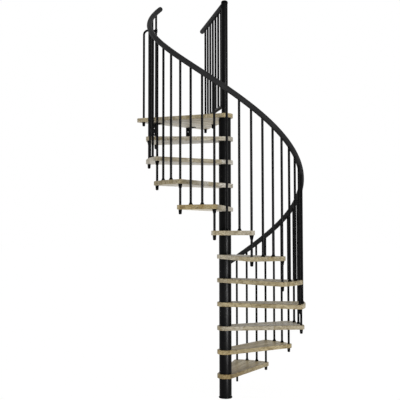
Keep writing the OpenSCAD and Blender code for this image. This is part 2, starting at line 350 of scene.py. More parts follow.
def tube(rings: Array, poles: Array | None = None) -> Shell:
    """Skin over rings of points, closed by a fan to a pole at each end.

    Args:
        rings: (rows, columns, 3) points, counter-clockwise seen from the last ring, so that faces point out.
        poles: the two pole points; the middles of the end rings where left out.

    Returns:
        The closed shell.
    """
    rows, columns = rings.shape[:2]
    ends = np.stack([rings[0].mean(0), rings[-1].mean(0)]) if poles is None else np.asarray(poles)
    j = np.arange(columns)
    right = (j + 1) % columns
    first = rows * columns
    top = first - columns
    tris = np.concatenate([
        np.stack([right, j, np.full(columns, first)], -1),
        np.stack([top + j, top + right, np.full(columns, first + 1)], -1),
    ])
    return Shell(np.concatenate([rings.reshape(-1, 3), ends]), grid_quads(rows, columns), tris)


def turned_rings(profile: Array, sides: int) -> Array:
    """Rings of a turned shape: point (i, j) is profile point i (radius, height) at part j of a full turn."""
    return placed(along(full_turn(sides), profile[:, :1]), profile[:, 1:])


def turned_solid(profile: Array, sides: int) -> Shell:
    """Turned shape whose profile starts and ends on the axis, at the profile's first and last heights."""
    poles = placed(np.zeros((2, 2)), profile[[0, -1], 1])
    return tube(turned_rings(profile[1:-1], sides), poles)


def turned_ring(profile: Array, sides: int) -> Shell:
    """Turned shape whose closed profile keeps off the axis and runs up its outer side."""
    rings = turned_rings(profile, sides)
    return Shell(rings.reshape(-1, 3), grid_quads(len(profile), sides, wrap_rows=True))


def upright(place: Array, start: float, radii: Array, heights: tuple[Array | float, ...]) -> Shell:
    """Upright rod: point (i, j) lies radius i out in direction j of a full turn, at height i there.

    Args:
        place: plan point of the axis.
        start: first direction in degrees.
        radii: radius of each ring, from the lowest up.
        heights: height of each ring, one for all directions or one for each.

    Returns:
        The closed shell.
    """
    plan = place + along(start + full_turn(ROD_SIDES), radii[:, None])
    return tube(placed(plan, np.stack([np.broadcast_to(z, ROD_SIDES) for z in heights])))


def swept(centres: Array, radii: Array, out: Array, up: Array, sides: int, poles: Array) -> Shell:
    """Round section carried along a path.

    Point (i, j) is centre i plus radius i times cos(turn j) of the out and sin(turn j) of the up vector.

    Args:
        centres: (n, 3) points of the path.
        radii: (n,) radii.
        out: (n, 3) unit vectors across the path, or one for all.
        up: (n, 3) unit vectors, so that out, up and the path are right-handed, or one for all.
        sides: points in a ring.
        poles: the two end points.

    Returns:
        The closed shell.
    """
    c, s = np.moveaxis(along(full_turn(sides), 1.0), -1, 0)[..., None]
    out, up = (np.broadcast_to(v, centres.shape)[:, None] for v in (out, up))
    return tube(centres[:, None] + radii[:, None, None] * (c * out + s * up), poles)


def crown(radius: float, rise: float, steps: int, power: float = 2.0, spacing: float = 1.0) -> Array:
    """Profile of a dome from its top to its rim: the height is rise times sqrt(1 - (r / radius) ^ power).

    Args:
        radius: radius of the rim.
        rise: height of the top over the rim, negative for a bowl.
        steps: number of points.
        power: 2 for an ellipse, more for a flatter top.
        spacing: power of the sine that spaces the points.

    Returns:
        A (steps, 2) array of radius and height.
    """
    r = radius * np.sin(np.linspace(0.0, math.pi / 2, steps)) ** spacing
    return np.stack([r, rise * np.sqrt(np.maximum(1 - (r / radius) ** power, 0))], -1)


def rounded(points: list[Triple], steps: int = 4) -> Array:
    """Profile with rounded corners.

    Each corner is a quadratic curve between points set back along its two sides.

    Args:
        points: (radius, height, set-back) of each corner, where a set-back of 0 leaves it sharp.
        steps: parts in a rounded corner.

    Returns:
        An (n, 2) array.
    """
    corner, back = np.split(np.array(points, float), [2], 1)
    sides = [np.roll(corner, n, 0) - corner for n in (1, -1)]
    start, end = (corner + side / np.linalg.norm(side, axis=1, keepdims=True) * back for side in sides)
    t = np.linspace(0.0, 1.0, steps + 1)[None, :, None]
    curve = (1 - t) ** 2 * start[:, None] + 2 * t * (1 - t) * corner[:, None] + t ** 2 * end[:, None]
    keep = np.ones(curve.shape[:2], bool)
    keep[back[:, 0] == 0.0, 1:] = False
    return curve[keep]


class NodeGraph:
    """Node tree of a material or a world, filled by short calls."""

    def __init__(self, owner: bpy.types.Material | bpy.types.World) -> None:
        """Gives the owner an empty tree.

        Args:
            owner: the material or world.
        """
        owner.use_nodes = True
        self.tree = owner.node_tree
        self.tree.nodes.clear()

    def add(self, kind: str, inputs: dict | None = None, **settings: str) -> bpy.types.Node:
        """Adds a node.

        Args:
            kind: Blender's node type.
            inputs: input name or number to a constant or to another node's output.
            settings: node properties.

        Returns:
            The node.
        """
        node = self.tree.nodes.new(kind)
        for key, value in settings.items():
            setattr(node, key, value)
        for key, value in (inputs or {}).items():
            if isinstance(value, Socket):
                self.tree.links.new(value, node.inputs[key])
            else:
                node.inputs[key].default_value = value
        return node

    def out(self, kind: str, inputs: dict | None = None, output: str | int = 0, **settings: str) -> Socket:
        """One output of a new node, by name or number."""
        return self.add(kind, inputs, **settings).outputs[output]

    def attribute(self, name: str, output: str = "Fac") -> Socket:
        """Value of a mesh attribute."""
        return self.out("ShaderNodeAttribute", None, output, attribute_name=name)

    def math(self, operation: str, *values: Value) -> Socket:
        """Output of a Math node with the given inputs."""
        return self.out("ShaderNodeMath", dict(enumerate(values)), operation=operation)

    def vector(self, operation: str, *values: Value) -> Socket:
        """Output of a Vector Math node with the given inputs."""
        return self.out("ShaderNodeVectorMath", dict(enumerate(values)), operation=operation)

    def scaled(self, vector: Socket, factor: Value) -> Socket:
        """Vector or colour times a factor."""
        return self.out("ShaderNodeVectorMath", {0: vector, "Scale": factor}, operation="SCALE")

    def noise(self, place: Socket, *shape: float) -> Socket:
        """Noise at a place, by its scale, detail, roughness and, if given, distortion."""
        names = ("Vector", "Scale", "Detail", "Roughness", "Distortion")
        return self.out("ShaderNodeTexNoise", dict(zip(names, (place, *shape))), "Fac")

    def chance(self, place: Socket) -> bpy.types.bpy_prop_collection:
        """Outputs of white noise, which has one value and one colour for each place."""
        return self.add("ShaderNodeTexWhiteNoise", {"Vector": place}, noise_dimensions="3D").outputs

    def ramp(self, factor: Socket, stops: tuple[tuple[float, Triple], ...]) -> Socket:
        """Colour of a ramp.

        Args:
            factor: the value that is looked up.
            stops: position and linear colour of each stop, in order.

        Returns:
            The colour.
        """
        node = self.add("ShaderNodeValToRGB", {"Fac": factor})
        elements = node.color_ramp.elements
        for element, (position, colour) in zip(elements, (stops[0], stops[-1])):
            element.position = position
            element.color = (*colour, 1.0)
        for position, colour in stops[1:-1]:
            elements.new(position).color = (*colour, 1.0)
        return node.outputs["Color"]

    def span(self, value: Socket, source: Pair, target: Pair) -> Socket:
        """Value moved from one span to another and held inside it."""
        ends = dict(zip(("From Min", "From Max", "To Min", "To Max"), source + target))
        return self.out("ShaderNodeMapRange", {"Value": value, **ends}, "Result")

    def mix(self, blend: str, factor: Value, first: Value, second: Value) -> Socket:
        """Colour of a Mix node, whose colours are inputs 6 and 7 and output 2."""
        inputs = {0: factor, 6: first, 7: second}
        return self.out("ShaderNodeMix", inputs, 2, data_type="RGBA", blend_type=blend)

    def surface(self, colour: Socket, roughness: Socket, height: Socket, bump: Pair, specular: float) -> None:
        """Ends a material in a Principled shader with a bump.

        Args:
            colour: base colour.
            roughness: roughness.
            height: height of the bump.
            bump: strength and distance of the bump.
            specular: specular level.
        """
        strength, distance = bump
        normal = self.out("ShaderNodeBump", {"Height": height, "Strength": strength, "Distance": distance})
        shader = self.out("ShaderNodeBsdfPrincipled", {
            "Base Color": colour, "Roughness": roughness, "Normal": normal, "Specular IOR Level": specular})
        self.add("ShaderNodeOutputMaterial", {"Surface": shader})


def linear(red: int, green: int, blue: int) -> Triple:
    """Linear colour of an sRGB one in 0 to 255."""
    c = np.array([red, green, blue]) / 255.0
    return tuple(np.where(c <= 0.04045, c / 12.92, ((c + 0.055) / 1.055) ** 2.4).tolist())


@dataclass(frozen=True)
class CoatFinish:
    """Black coat or plastic: a fine skin of bumps, and slow drifts of tone and gloss."""

    name: str
    slot: Slot
    dark: Rgb
    light: Rgb
    gloss: Pair
    specular: float
    skin_scale: float
    skin: Pair = (2.0, 0.5)  # detail and roughness of its noise
    drift: Triple = (5.0, 4.0, 0.6)  # scale, detail and roughness
    speck: Pair = (3.0, 0.7)  # detail and roughness
    speck_size: float = 0.35  # of the skin's scale
    speck_tone: float = 0.6
    skin_gloss: float = 0.5
    tone_span: Pair = (0.5, 1.1)
    gloss_span: Pair = (0.45, 1.05)
    bump: Pair = (0.6, 0.00001)

    def material(self) -> bpy.types.Material:
        """Builds the material on Object coordinates: drift and specks set the tone, drift and skin the gloss.

        Returns:
            The material.
        """
        made = bpy.data.materials.new(self.name)
        g = NodeGraph(made)
        place = g.out("ShaderNodeTexCoord", None, "Object")
        drift = g.noise(place, *self.drift)
        skin = g.noise(place, self.skin_scale, *self.skin)
        speck = g.noise(place, self.skin_scale * self.speck_size, *self.speck)
        share = g.span(g.math("MULTIPLY_ADD", speck, self.speck_tone, drift), self.tone_span, UNIT)
        tone = g.mix("MIX", share, (*linear(*self.dark), 1.0), (*linear(*self.light), 1.0))
        rough = g.span(g.math("MULTIPLY_ADD", skin, self.skin_gloss, drift), self.gloss_span, self.gloss)
        g.surface(tone, rough, skin, self.bump, self.specular)
        return made


@dataclass(frozen=True)
class GrainLayer:
    """Layer of the timber's figure: noise stretched along the grain, whose ramp multiplies the tone."""

    stretch: Pair  # scale along and across the grain
    noise: Triple  # detail, roughness and distortion
    stops: tuple[tuple[float, Triple], ...]
    share: float = 1.0
    by_stave: bool = True

    def value(self, g: NodeGraph, grain: Socket, shift: Socket) -> Socket:
        """Noise of the layer.

        Args:
            g: the timber's nodes.
            grain: grain coordinates.
            shift: each stave's own shift, which keeps the figure from running on into the next stave.

        Returns:
            The noise's value.
        """
        lengthwise, across = self.stretch
        place = g.vector("MULTIPLY", grain, (lengthwise, across, across))
        return g.noise(g.vector("ADD", place, shift) if self.by_stave else place, 1.0, *self.noise)


@dataclass(frozen=True)
class TimberFinish:
    """Lacquered laminated timber: staves side by side, each with its own tone, grain and pores."""

    name: str = "laminated_timber"
    stave_width: float = 0.042
    stave_length: float = 0.47
    stave_lag: float = 0.381  # of a stave's length from row to row
    stave_jump: float = 9.0
    stave_spread: float = 0.34
    stave_shade: Pair = (0.82, 1.14)
    tones: tuple[tuple[float, Rgb], ...] = (
        (0.00, (206, 204, 198)), (0.22, (194, 186, 165)), (0.45, (181, 170, 140)),
        (0.65, (168, 154, 118)), (0.82, (153, 136, 98)), (1.00, (130, 113, 78)))
    fibre: GrainLayer = GrainLayer(
        (5.0, 130.0), (6.0, 0.62, 0.4),
        ((0.28, (0.62, 0.57, 0.50)), (0.52, (0.98, 0.97, 0.95)), (0.75, (1.08, 1.07, 1.04))))
    figure: GrainLayer = GrainLayer(
        (2.2, 26.0), (4.0, 0.55, 1.1),
        ((0.30, (0.72, 0.66, 0.58)), (0.50, (1.0, 0.99, 0.97)), (0.70, (1.05, 1.03, 1.0))), share=0.75)
    cloud: GrainLayer = GrainLayer(
        (10.0, 26.0), (3.0, 0.5, 0.8),
        ((0.32, (0.80, 0.77, 0.71)), (0.50, (1.02, 1.02, 1.02)), (0.68, (1.11, 1.12, 1.13))), by_stave=False)
    fleck: GrainLayer = GrainLayer(
        (36.0, 90.0), (2.0, 0.5, 0.6),
        ((0.34, (0.66, 0.62, 0.55)), (0.50, (1.02, 1.02, 1.02)), (0.70, (1.13, 1.14, 1.14))))
    pore: GrainLayer = GrainLayer(
        (55.0, 900.0), (2.0, 0.5, 0.0), ((0.27, (0.55, 0.48, 0.40)), (0.36, (1.0, 1.0, 1.0))), share=0.6)
    side_joint: Pair = (0.478, 0.494)
    end_joint: Pair = (0.4975, 0.4992)
    glue_share: float = 0.30
    glue_tone: tuple[float, ...] = (0.52, 0.44, 0.35, 1.0)
    glue_depth: float = 0.7
    arris_share: float = 0.35
    arris_tone: tuple[float, ...] = (0.80, 0.72, 0.62, 1.0)
    figure_gloss: float = 0.5
    gloss_span: Pair = (0.4, 1.1)
    gloss: Pair = (0.50, 0.37)
    bump: Pair = (0.35, 0.0003)
    specular: float = 0.16

    def material(self) -> bpy.types.Material:
        """Builds the material on the boards' own grain attribute, which runs along each board.

        A stave's row and run are the grain coordinates over its width and length. Its chance moves its tone
        and its figure. The layers, the glue joints, each board's lightness with its painted light and shade,
        and the worn arrises then multiply the tone.

        Returns:
            The material.
        """
        made = bpy.data.materials.new(self.name)
        g = NodeGraph(made)
        grain = g.attribute("grain", "Vector")
        lengthwise, sideways, _ = g.add("ShaderNodeSeparateXYZ", {0: grain}).outputs
        across = g.math("DIVIDE", sideways, self.stave_width)
        row = g.math("FLOOR", across)
        lag = g.math("MULTIPLY", row, self.stave_lag)
        run = g.math("ADD", g.math("DIVIDE", lengthwise, self.stave_length), lag)
        chance = g.chance(g.out("ShaderNodeCombineXYZ", {0: row, 1: g.math("FLOOR", run)}))
        shift = g.scaled(chance["Color"], self.stave_jump)
        spread = g.math("MULTIPLY", g.math("SUBTRACT", chance["Value"], 0.5), self.stave_spread)
        stops = tuple((p, linear(*c)) for p, c in self.tones)
        tone = g.ramp(g.math("ADD", g.attribute("warmth"), spread), stops)
        layers = (self.fibre, self.figure, self.pore, self.cloud, self.fleck)
        values = [layer.value(g, grain, shift) for layer in layers]
        for layer, value in zip(layers, values):
            tone = g.mix("MULTIPLY", layer.share, tone, g.ramp(value, layer.stops))
        fibre, figure, pore = values[:3]
        side, end = (g.math("ABSOLUTE", g.math("SUBTRACT", g.math("FRACT", v), 0.5)) for v in (across, run))
        glue = g.math("MAXIMUM", g.span(side, self.side_joint, UNIT), g.span(end, self.end_joint, UNIT))
        tone = g.mix("MULTIPLY", g.math("MULTIPLY", glue, self.glue_share), tone, self.glue_tone)
        stave = g.span(g.chance(shift)["Value"], UNIT, self.stave_shade)
        # Painted light and shade: each board's lightness, its paler underside and darker upper face, times
        # each stave's own tone.
        tone = g.scaled(tone, g.math("MULTIPLY", g.attribute("lightness_and_painted_light"), stave))
        worn = g.math("MULTIPLY", g.attribute("arris"), self.arris_share)
        tone = g.mix("MULTIPLY", worn, tone, self.arris_tone)
        rough = g.span(g.math("MULTIPLY_ADD", figure, self.figure_gloss, fibre), self.gloss_span, self.gloss)
        height = g.math("MULTIPLY_ADD", glue, -self.glue_depth, g.math("ADD", fibre, pore))
        g.surface(tone, rough, height, self.bump, self.specular)
        return made


COATS = (
    CoatFinish("black_powder_coat", Slot.STEEL, (11, 11, 12), (17, 17, 18), (0.34, 0.40), 0.03, 500.0),
    CoatFinish("black_rail_plastic", Slot.RAIL, (38, 38, 39), (50, 50, 51), (0.46, 0.54), 0.02, 300.0),
    CoatFinish("black_fitting_plastic", Slot.FITTING, (6, 6, 7), (10, 10, 11), (0.42, 0.50), 0.03, 700.0),
)


@dataclass(frozen=True)
class Piece:
    """Piece to make: its shell, its slot, the CAD nodes that it stands for, and its sheen and sharp edges."""

    name: str
    shell: Shell
    slot: Slot
    nodes: tuple[str, ...] = ()
    sheen: Sheen | None = None
    sharp: float = SHARP


class Finishes:
    """The stair's materials by slot, and the groups of pieces that share a sheen."""

    def __init__(self) -> None:
        """Builds every material and group once."""
        self.sheens = {s: bpy.data.collections.new(s.value) for s in Sheen}
        self.by_slot = {c.slot: c.material() for c in COATS} | {Slot.TIMBER: TimberFinish().material()}

    def dress(self, piece: Piece) -> None:
        """Makes a piece, gives it its material and its body, and hides the CAD nodes that it stands for.

        Args:
            piece: the piece to make.
        """
        made = piece.shell.object(piece.name, piece.sharp)
        made.data.materials.append(self.by_slot[piece.slot])
        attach(made, BODY)
        if piece.nodes:
            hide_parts(*piece.nodes)
        if piece.sheen:
            self.sheens[piece.sheen].objects.link(made)
        log.info("%s: %d faces, %s", made.name, len(made.data.polygons), piece.slot.value)


@dataclass
class SubAssembly:
    """Pieces of the stair that belong together."""

    sizes: StairSizes

    def pieces(self) -> Iterator[Piece]:
        """The pieces, in the order in which they are made."""
        raise NotImplementedError

    def build(self, finishes: Finishes) -> None:
        """Makes and dresses every piece."""
        for piece in self.pieces():
            finishes.dress(piece)


@dataclass(frozen=True)
class BoardEdge:
    """Convex outline of a board as points and the outward normals at them."""

    points: Array
    normals: Array

    @staticmethod
    def of_arcs(arcs: list[tuple[Array, float, float, float, int]]) -> "BoardEdge":
        """Outline made of arcs, joined by straight edges that are tangent to them.

        Args:
            arcs: centre, radius, first and last direction in degrees and number of points of each arc.

        Returns:
            The outline, counter-clockwise.
        """
        turns = [np.linspace(first, last, n) for _, _, first, last, n in arcs]
        points = np.concatenate([arc[0] + along(turn, arc[1]) for arc, turn in zip(arcs, turns)])
        return BoardEdge(points, along(np.concatenate(turns), 1.0))


@dataclass
class Board:
    """Timber board with eased arrises and bores that its tubes pass.

    A wall ring at turn p from the upper face is set in by ease (1 - sin p) and down by ease (1 - cos p).
    """

    edge: BoardEdge
    bores: list[tuple[Array, float]]
    bottom: float
    thick: float
    grain_angle: float
    serial: int
    warmth: Pair
    lightness_and_painted_light: Pair
    # Painted light on the underside, which is paler and less warm, and painted shade on the upper face.
    underside_painted_light_warmth: float = 0.25
    underside_painted_light: float = 0.10
    top_painted_shade: float = 0.12
    grain_jump: Pair = (7.0, 0.017)
    ease: float = 0.0030
    bore_ease: float = 0.0008
    bore_sides: int = 24
    steps: int = 5

    def wall(self, points: Array, normals: Array, ease: float) -> tuple[Array, Array, Array]:
        """Rings of one wall from the upper face to the lower one.

        Args:
            points: (n, 2) plan points.
            normals: (n, 2) unit normals out of the timber.
            ease: radius of the rounded arrises.

        Returns:
            Points and normals, each (rows, n, 3), and the share of the arris at each row.
        """
        quarter = np.linspace(0.0, 90.0, self.steps)
        turn = np.radians(np.concatenate([quarter, quarter + 90.0]))[:, None]
        fall = ease * (1 - np.abs(np.cos(turn)))
        upper = np.arange(len(turn))[:, None] < self.steps
        z = np.where(upper, self.bottom + self.thick - fall, self.bottom + fall)
        plan = points - (ease * (1 - np.sin(turn)))[..., None] * normals
        facing = placed(np.sin(turn)[..., None] * normals, np.cos(turn))
        return placed(plan, z), facing, np.sin(2 * turn[:, 0]) ** 2

    def shell(self) -> Shell:
        """Walls of the outline and the bores, and the two faces between them.

        Returns:
            The closed board with its grain, arris, warmth and shade values.
        """
        turn = -full_turn(self.bore_sides)
        loops = [(self.edge.points, self.edge.normals, self.ease)]
        loops += [(c + along(turn, r), -along(turn, 1.0), self.bore_ease) for c, r in self.bores]
        points, normals, arris, quads, first = [], [], [], [], []
        start = 0
        for plan, out, ease in loops:
            place, facing, share = self.wall(plan, out, ease)
            rows, columns = place.shape[:2]
            points.append(place.reshape(-1, 3))
            normals.append(facing.reshape(-1, 3))
            arris.append(np.repeat(share, columns))
            quads.append(start + grid_quads(rows, columns)[:, ::-1])
            first.append(start + np.arange(columns))
            start += rows * columns
        where = np.concatenate(points)
        upper = np.concatenate(first)
        lower = np.concatenate([ring + (2 * self.steps - 1) * len(ring) for ring in first])
        faces = np.array(tessellate_polygon([where[ring].tolist() for ring in first]))
        a, b, c = (where[upper[faces[:, i]], :2] for i in range(3))
        flip = np.linalg.det(np.stack([b - a, c - a], 1)) < 0
        faces[flip] = faces[flip][:, ::-1]
        tris = np.concatenate([upper[faces], lower[faces][:, ::-1]])
        values = {"grain": self.grain(where), "arris": np.concatenate(arris), **self.tint(where)}
        return Shell(where, np.concatenate(quads), tris, np.concatenate(normals), values)

    def tint(self, where: Array) -> dict[str, Array]:
        """Warmth and lightness, which change evenly with the distance from the column.

        The underside gets painted light, paler and less warm, and the upper face gets painted shade, a little
        darker.

        Args:
            where: (n, 3) points of the board.

        Returns:
            The two values at every point, by name.
        """
        far = np.hypot(where[:, 0], where[:, 1])
        under = where[:, 2] < self.bottom + TOUCH
        over = where[:, 2] > self.bottom + self.thick - TOUCH
        warmth, lightness_and_painted_light = (np.interp(far, (0.0, float(far.max())), ends) for ends in (self.warmth, self.lightness_and_painted_light))
        # Painted light lifts the underside and painted shade darkens the upper face.
        return {"warmth": warmth - self.underside_painted_light_warmth * under,
                "lightness_and_painted_light": lightness_and_painted_light * (1 + self.underside_painted_light * under - self.top_painted_shade * over)}

    def grain(self, where: Array) -> Array:
        """Grain coordinates: along the board, across it and up, moved on for each board."""
        turned = where[:, :2] @ along([self.grain_angle, self.grain_angle + 90.0], 1.0).T
        return placed(turned + np.array(self.grain_jump) * self.serial, where[:, 2])


@dataclass
class Timberwork(SubAssembly):
    """The treads and the landing, each with its warmth, and its lightness with painted light and shade, at
    the hub and at the nose.
    """

    warmth: tuple[Pair, ...] = (
        (0.86, 0.40), (0.68, 0.46), (0.36, 0.06), (0.58, 0.32), (0.40, 0.56), (0.00, 0.46),
        (0.26, 0.24), (-0.30, 0.78), (-0.30, 0.48), (0.00, 0.18), (0.04, 0.20), (0.52, 0.24))
    # Lightness at the hub and at the nose: partly each board's own tone, partly painted light and shade for
    # how the light falls on it.
    lightness_and_painted_light_pairs: tuple[Pair, ...] = (
        (0.94, 1.14), (1.00, 1.12), (0.86, 1.02), (0.79, 0.94), (0.68, 0.82), (0.88, 0.80),
        (0.70, 0.69), (1.32, 0.98), (1.22, 0.67), (1.12, 0.83), (1.04, 0.86), (1.02, 0.99))
    landing_grain: float = 0.0
    hub_points: int = 40
    nose_points: int = 32
    nose_share: float = 0.97  # of the turn between the corners
    corner_points: int = 12
    landing_corner_points: int = 10

    def board(self, n: int, outline: BoardEdge, rods: list[Array], grain: float) -> Board:
        """Board n with a bore for the core tube and one for each rod.

        Args:
            n: the board's number, where the landing comes after the last tread.
            outline: its outline.
            rods: plan points of the rods that pass it.
            grain: direction of its grain in degrees.

        Returns:
            The board.
        """
        s = self.sizes
        bores = [(AXIS, s.core_bore)] + [(p, s.rod_bore) for p in rods]
        warmth, lightness_and_painted_light = self.warmth[n - 1], self.lightness_and_painted_light_pairs[n - 1]
        return Board(outline, bores, float(s.tread_under(n)), s.thick, grain, n, warmth, lightness_and_painted_light)

    def tread(self, n: int) -> Board:
        """Tread n: a hub, two edges tangent to it, rounded corners and a round nose.

        Args:
            n: the tread's number, from 1.

        Returns:
            The board.
        """
        s = self.sizes
        edge = s.step_angle / 2 - math.degrees(math.asin((s.hub - s.margin) / s.rod_radius))
        off = s.hub - s.corner
        run = math.sqrt((s.radius - s.corner) ** 2 - off ** 2)
        turn = edge + math.degrees(math.atan2(off, run))
        nose = turn * self.nose_share
        middle = float(s.rod_angle(s.per_step * (n - 0.5)))
        right, left = (along(middle + side * turn, s.radius - s.corner) for side in (-1, 1))
        outline = BoardEdge.of_arcs([
            (right, s.corner, middle - edge - 90.0, middle - turn, self.corner_points),
            (AXIS, s.radius, middle - nose, middle + nose, self.nose_points),
            (left, s.corner, middle + turn, middle + edge + 90.0, self.corner_points),
            (AXIS, s.hub, middle + edge + 90.0, middle + 270.0 - edge, self.hub_points),
        ])
        return self.board(n, outline, [s.rod_at(s.per_step * (n - 1)), s.rod_at(s.per_step * n)], middle)

    def landing(self) -> Board:
        """Landing: a hub, a front and a side edge tangent to it, and a straight floor edge.

        Returns:
            The board.
        """
        s = self.sizes
        c, front, side = s.landing_corner, s.front_edge, s.side_edge
        outline = BoardEdge.of_arcs([
            (s.landing_point(side, -1.0, c, c), c, side - 90.0, 90.0, self.landing_corner_points),
            (s.landing_point(front, 1.0, c, c), c, 90.0, front + 90.0, self.landing_corner_points),
            (AXIS, s.hub, front + 90.0, side + 270.0, self.hub_points),
        ])
        rods = [s.rod_at(s.last), s.guard_at(), *s.through_at()]
        return self.board(s.treads + 1, outline, rods, self.landing_grain)

    def pieces(self) -> Iterator[Piece]:
        """The treads from the lowest up, then the landing.

        Yields:
            Each board.
        """
        for n in range(1, self.sizes.treads + 1):
            yield Piece(f"tread_board_{n:02d}", self.tread(n).shell(), Slot.TIMBER, (f"tread_{n:02d}",))
        yield Piece("landing_board", self.landing().shell(), Slot.TIMBER, ("landing",))


@dataclass
class Column(SubAssembly):
    """Base plate, stacked spacers, core tube and its cap."""

    spacer: float = 0.054
    spacer_wall: float = 0.003
    spacer_ease: float = 0.0012
    spacer_inner_ease: float = 0.0004
    spacer_sharp: float = 30.0
    core_wall: float = 0.003
    core_ease: float = 0.0005
    newel_rise: float = 0.033
    cap_rise: float = 0.018
    cap_wall: float = 0.002
    cap_skirt: float = 0.008
    cap_rim: float = 0.0006
    cap_shoulder: float = 0.001
    cap_power: float = 4.0
    cap_spacing: float = 0.6
    cap_steps: int = 18
    base: float = 0.059
    base_thick: float = 0.010
    base_ease: float = 0.003
    base_foot_ease: float = 0.001

    @property
    def newel_top(self) -> float:
        """Height of the core tube's upper end."""
        return self.sizes.landing_top + self.sizes.top_rail_height + self.newel_rise

    def base_flange(self) -> Shell:
        """Round plate with a rounded upper rim.

        Returns:
            The closed plate.
        """
        r, top = self.base, self.base_thick
        profile = rounded([(0, 0, 0), (r, 0, self.base_foot_ease), (r, top, self.base_ease), (0, top, 0)])
        return turned_solid(profile, SPACER_SIDES)

    def spacer_tube(self, low: float, high: float) -> Shell:
        """Tube with eased rims between two heights."""
        r, i, e, f = self.spacer, self.spacer - self.spacer_wall, self.spacer_ease, self.spacer_inner_ease
        return turned_ring(rounded([(r, low, e), (r, high, e), (i, high, f), (i, low, f)]), SPACER_SIDES)

    def spacers(self) -> Shell:
        """Tubes between the boards, where the first one starts on the base plate.

        Returns:
            One shell with all the tubes.
        """
        s = self.sizes
        first = self.spacer_tube(self.base_thick, float(s.tread_under(1)))
        climb = placed(np.zeros((s.treads, 2)), s.rise * np.arange(s.treads))
        return joined([first, self.spacer_tube(s.rise, float(s.tread_under(2))).repeated(climb)])

    def core(self) -> Shell:
        """Tube from the base plate to the newel's top.

        Returns:
            The closed tube.
        """
        r, e = self.sizes.core, self.core_ease
        i = r - self.core_wall
        low, top = self.base_thick, self.newel_top
        return turned_ring(rounded([(r, low, 0), (r, top, e), (i, top, e), (i, low, 0)]), TUBE_SIDES)

    def cap(self) -> Shell:
        """Cap with a short skirt and a crown that is flatter on top than an ellipse.

        Returns:
            The closed cap.
        """
        bore = self.sizes.core_bore
        wide = bore + self.cap_wall
        top, low = self.newel_top, self.newel_top - self.cap_skirt
        dome = crown(wide, self.cap_rise, self.cap_steps, self.cap_power, self.cap_spacing)[::-1] + [0.0, top]
        skirt = [[0, top], [bore, top], [bore, low], [wide - self.cap_rim, low], [wide, low + self.cap_rim],
                 [wide, top - self.cap_shoulder]]
        return turned_solid(np.concatenate([skirt, dome]), TUBE_SIDES)

    def pieces(self) -> Iterator[Piece]:
        """The base plate, the spacers, the core tube and its cap.

        Yields:
            Each piece.
        """
        yield Piece("base_flange", self.base_flange(), Slot.STEEL, ("base_plate",))
        yield Piece(
            "spacer_stack", self.spacers(), Slot.STEEL, ("column_spacers",), Sheen.COLUMN, self.spacer_sharp)
        yield Piece("core_post", self.core(), Slot.STEEL, ("core_tube",), Sheen.COLUMN)
        yield Piece("post_cap_dome", self.cap(), Slot.FITTING, ("post_cap",))


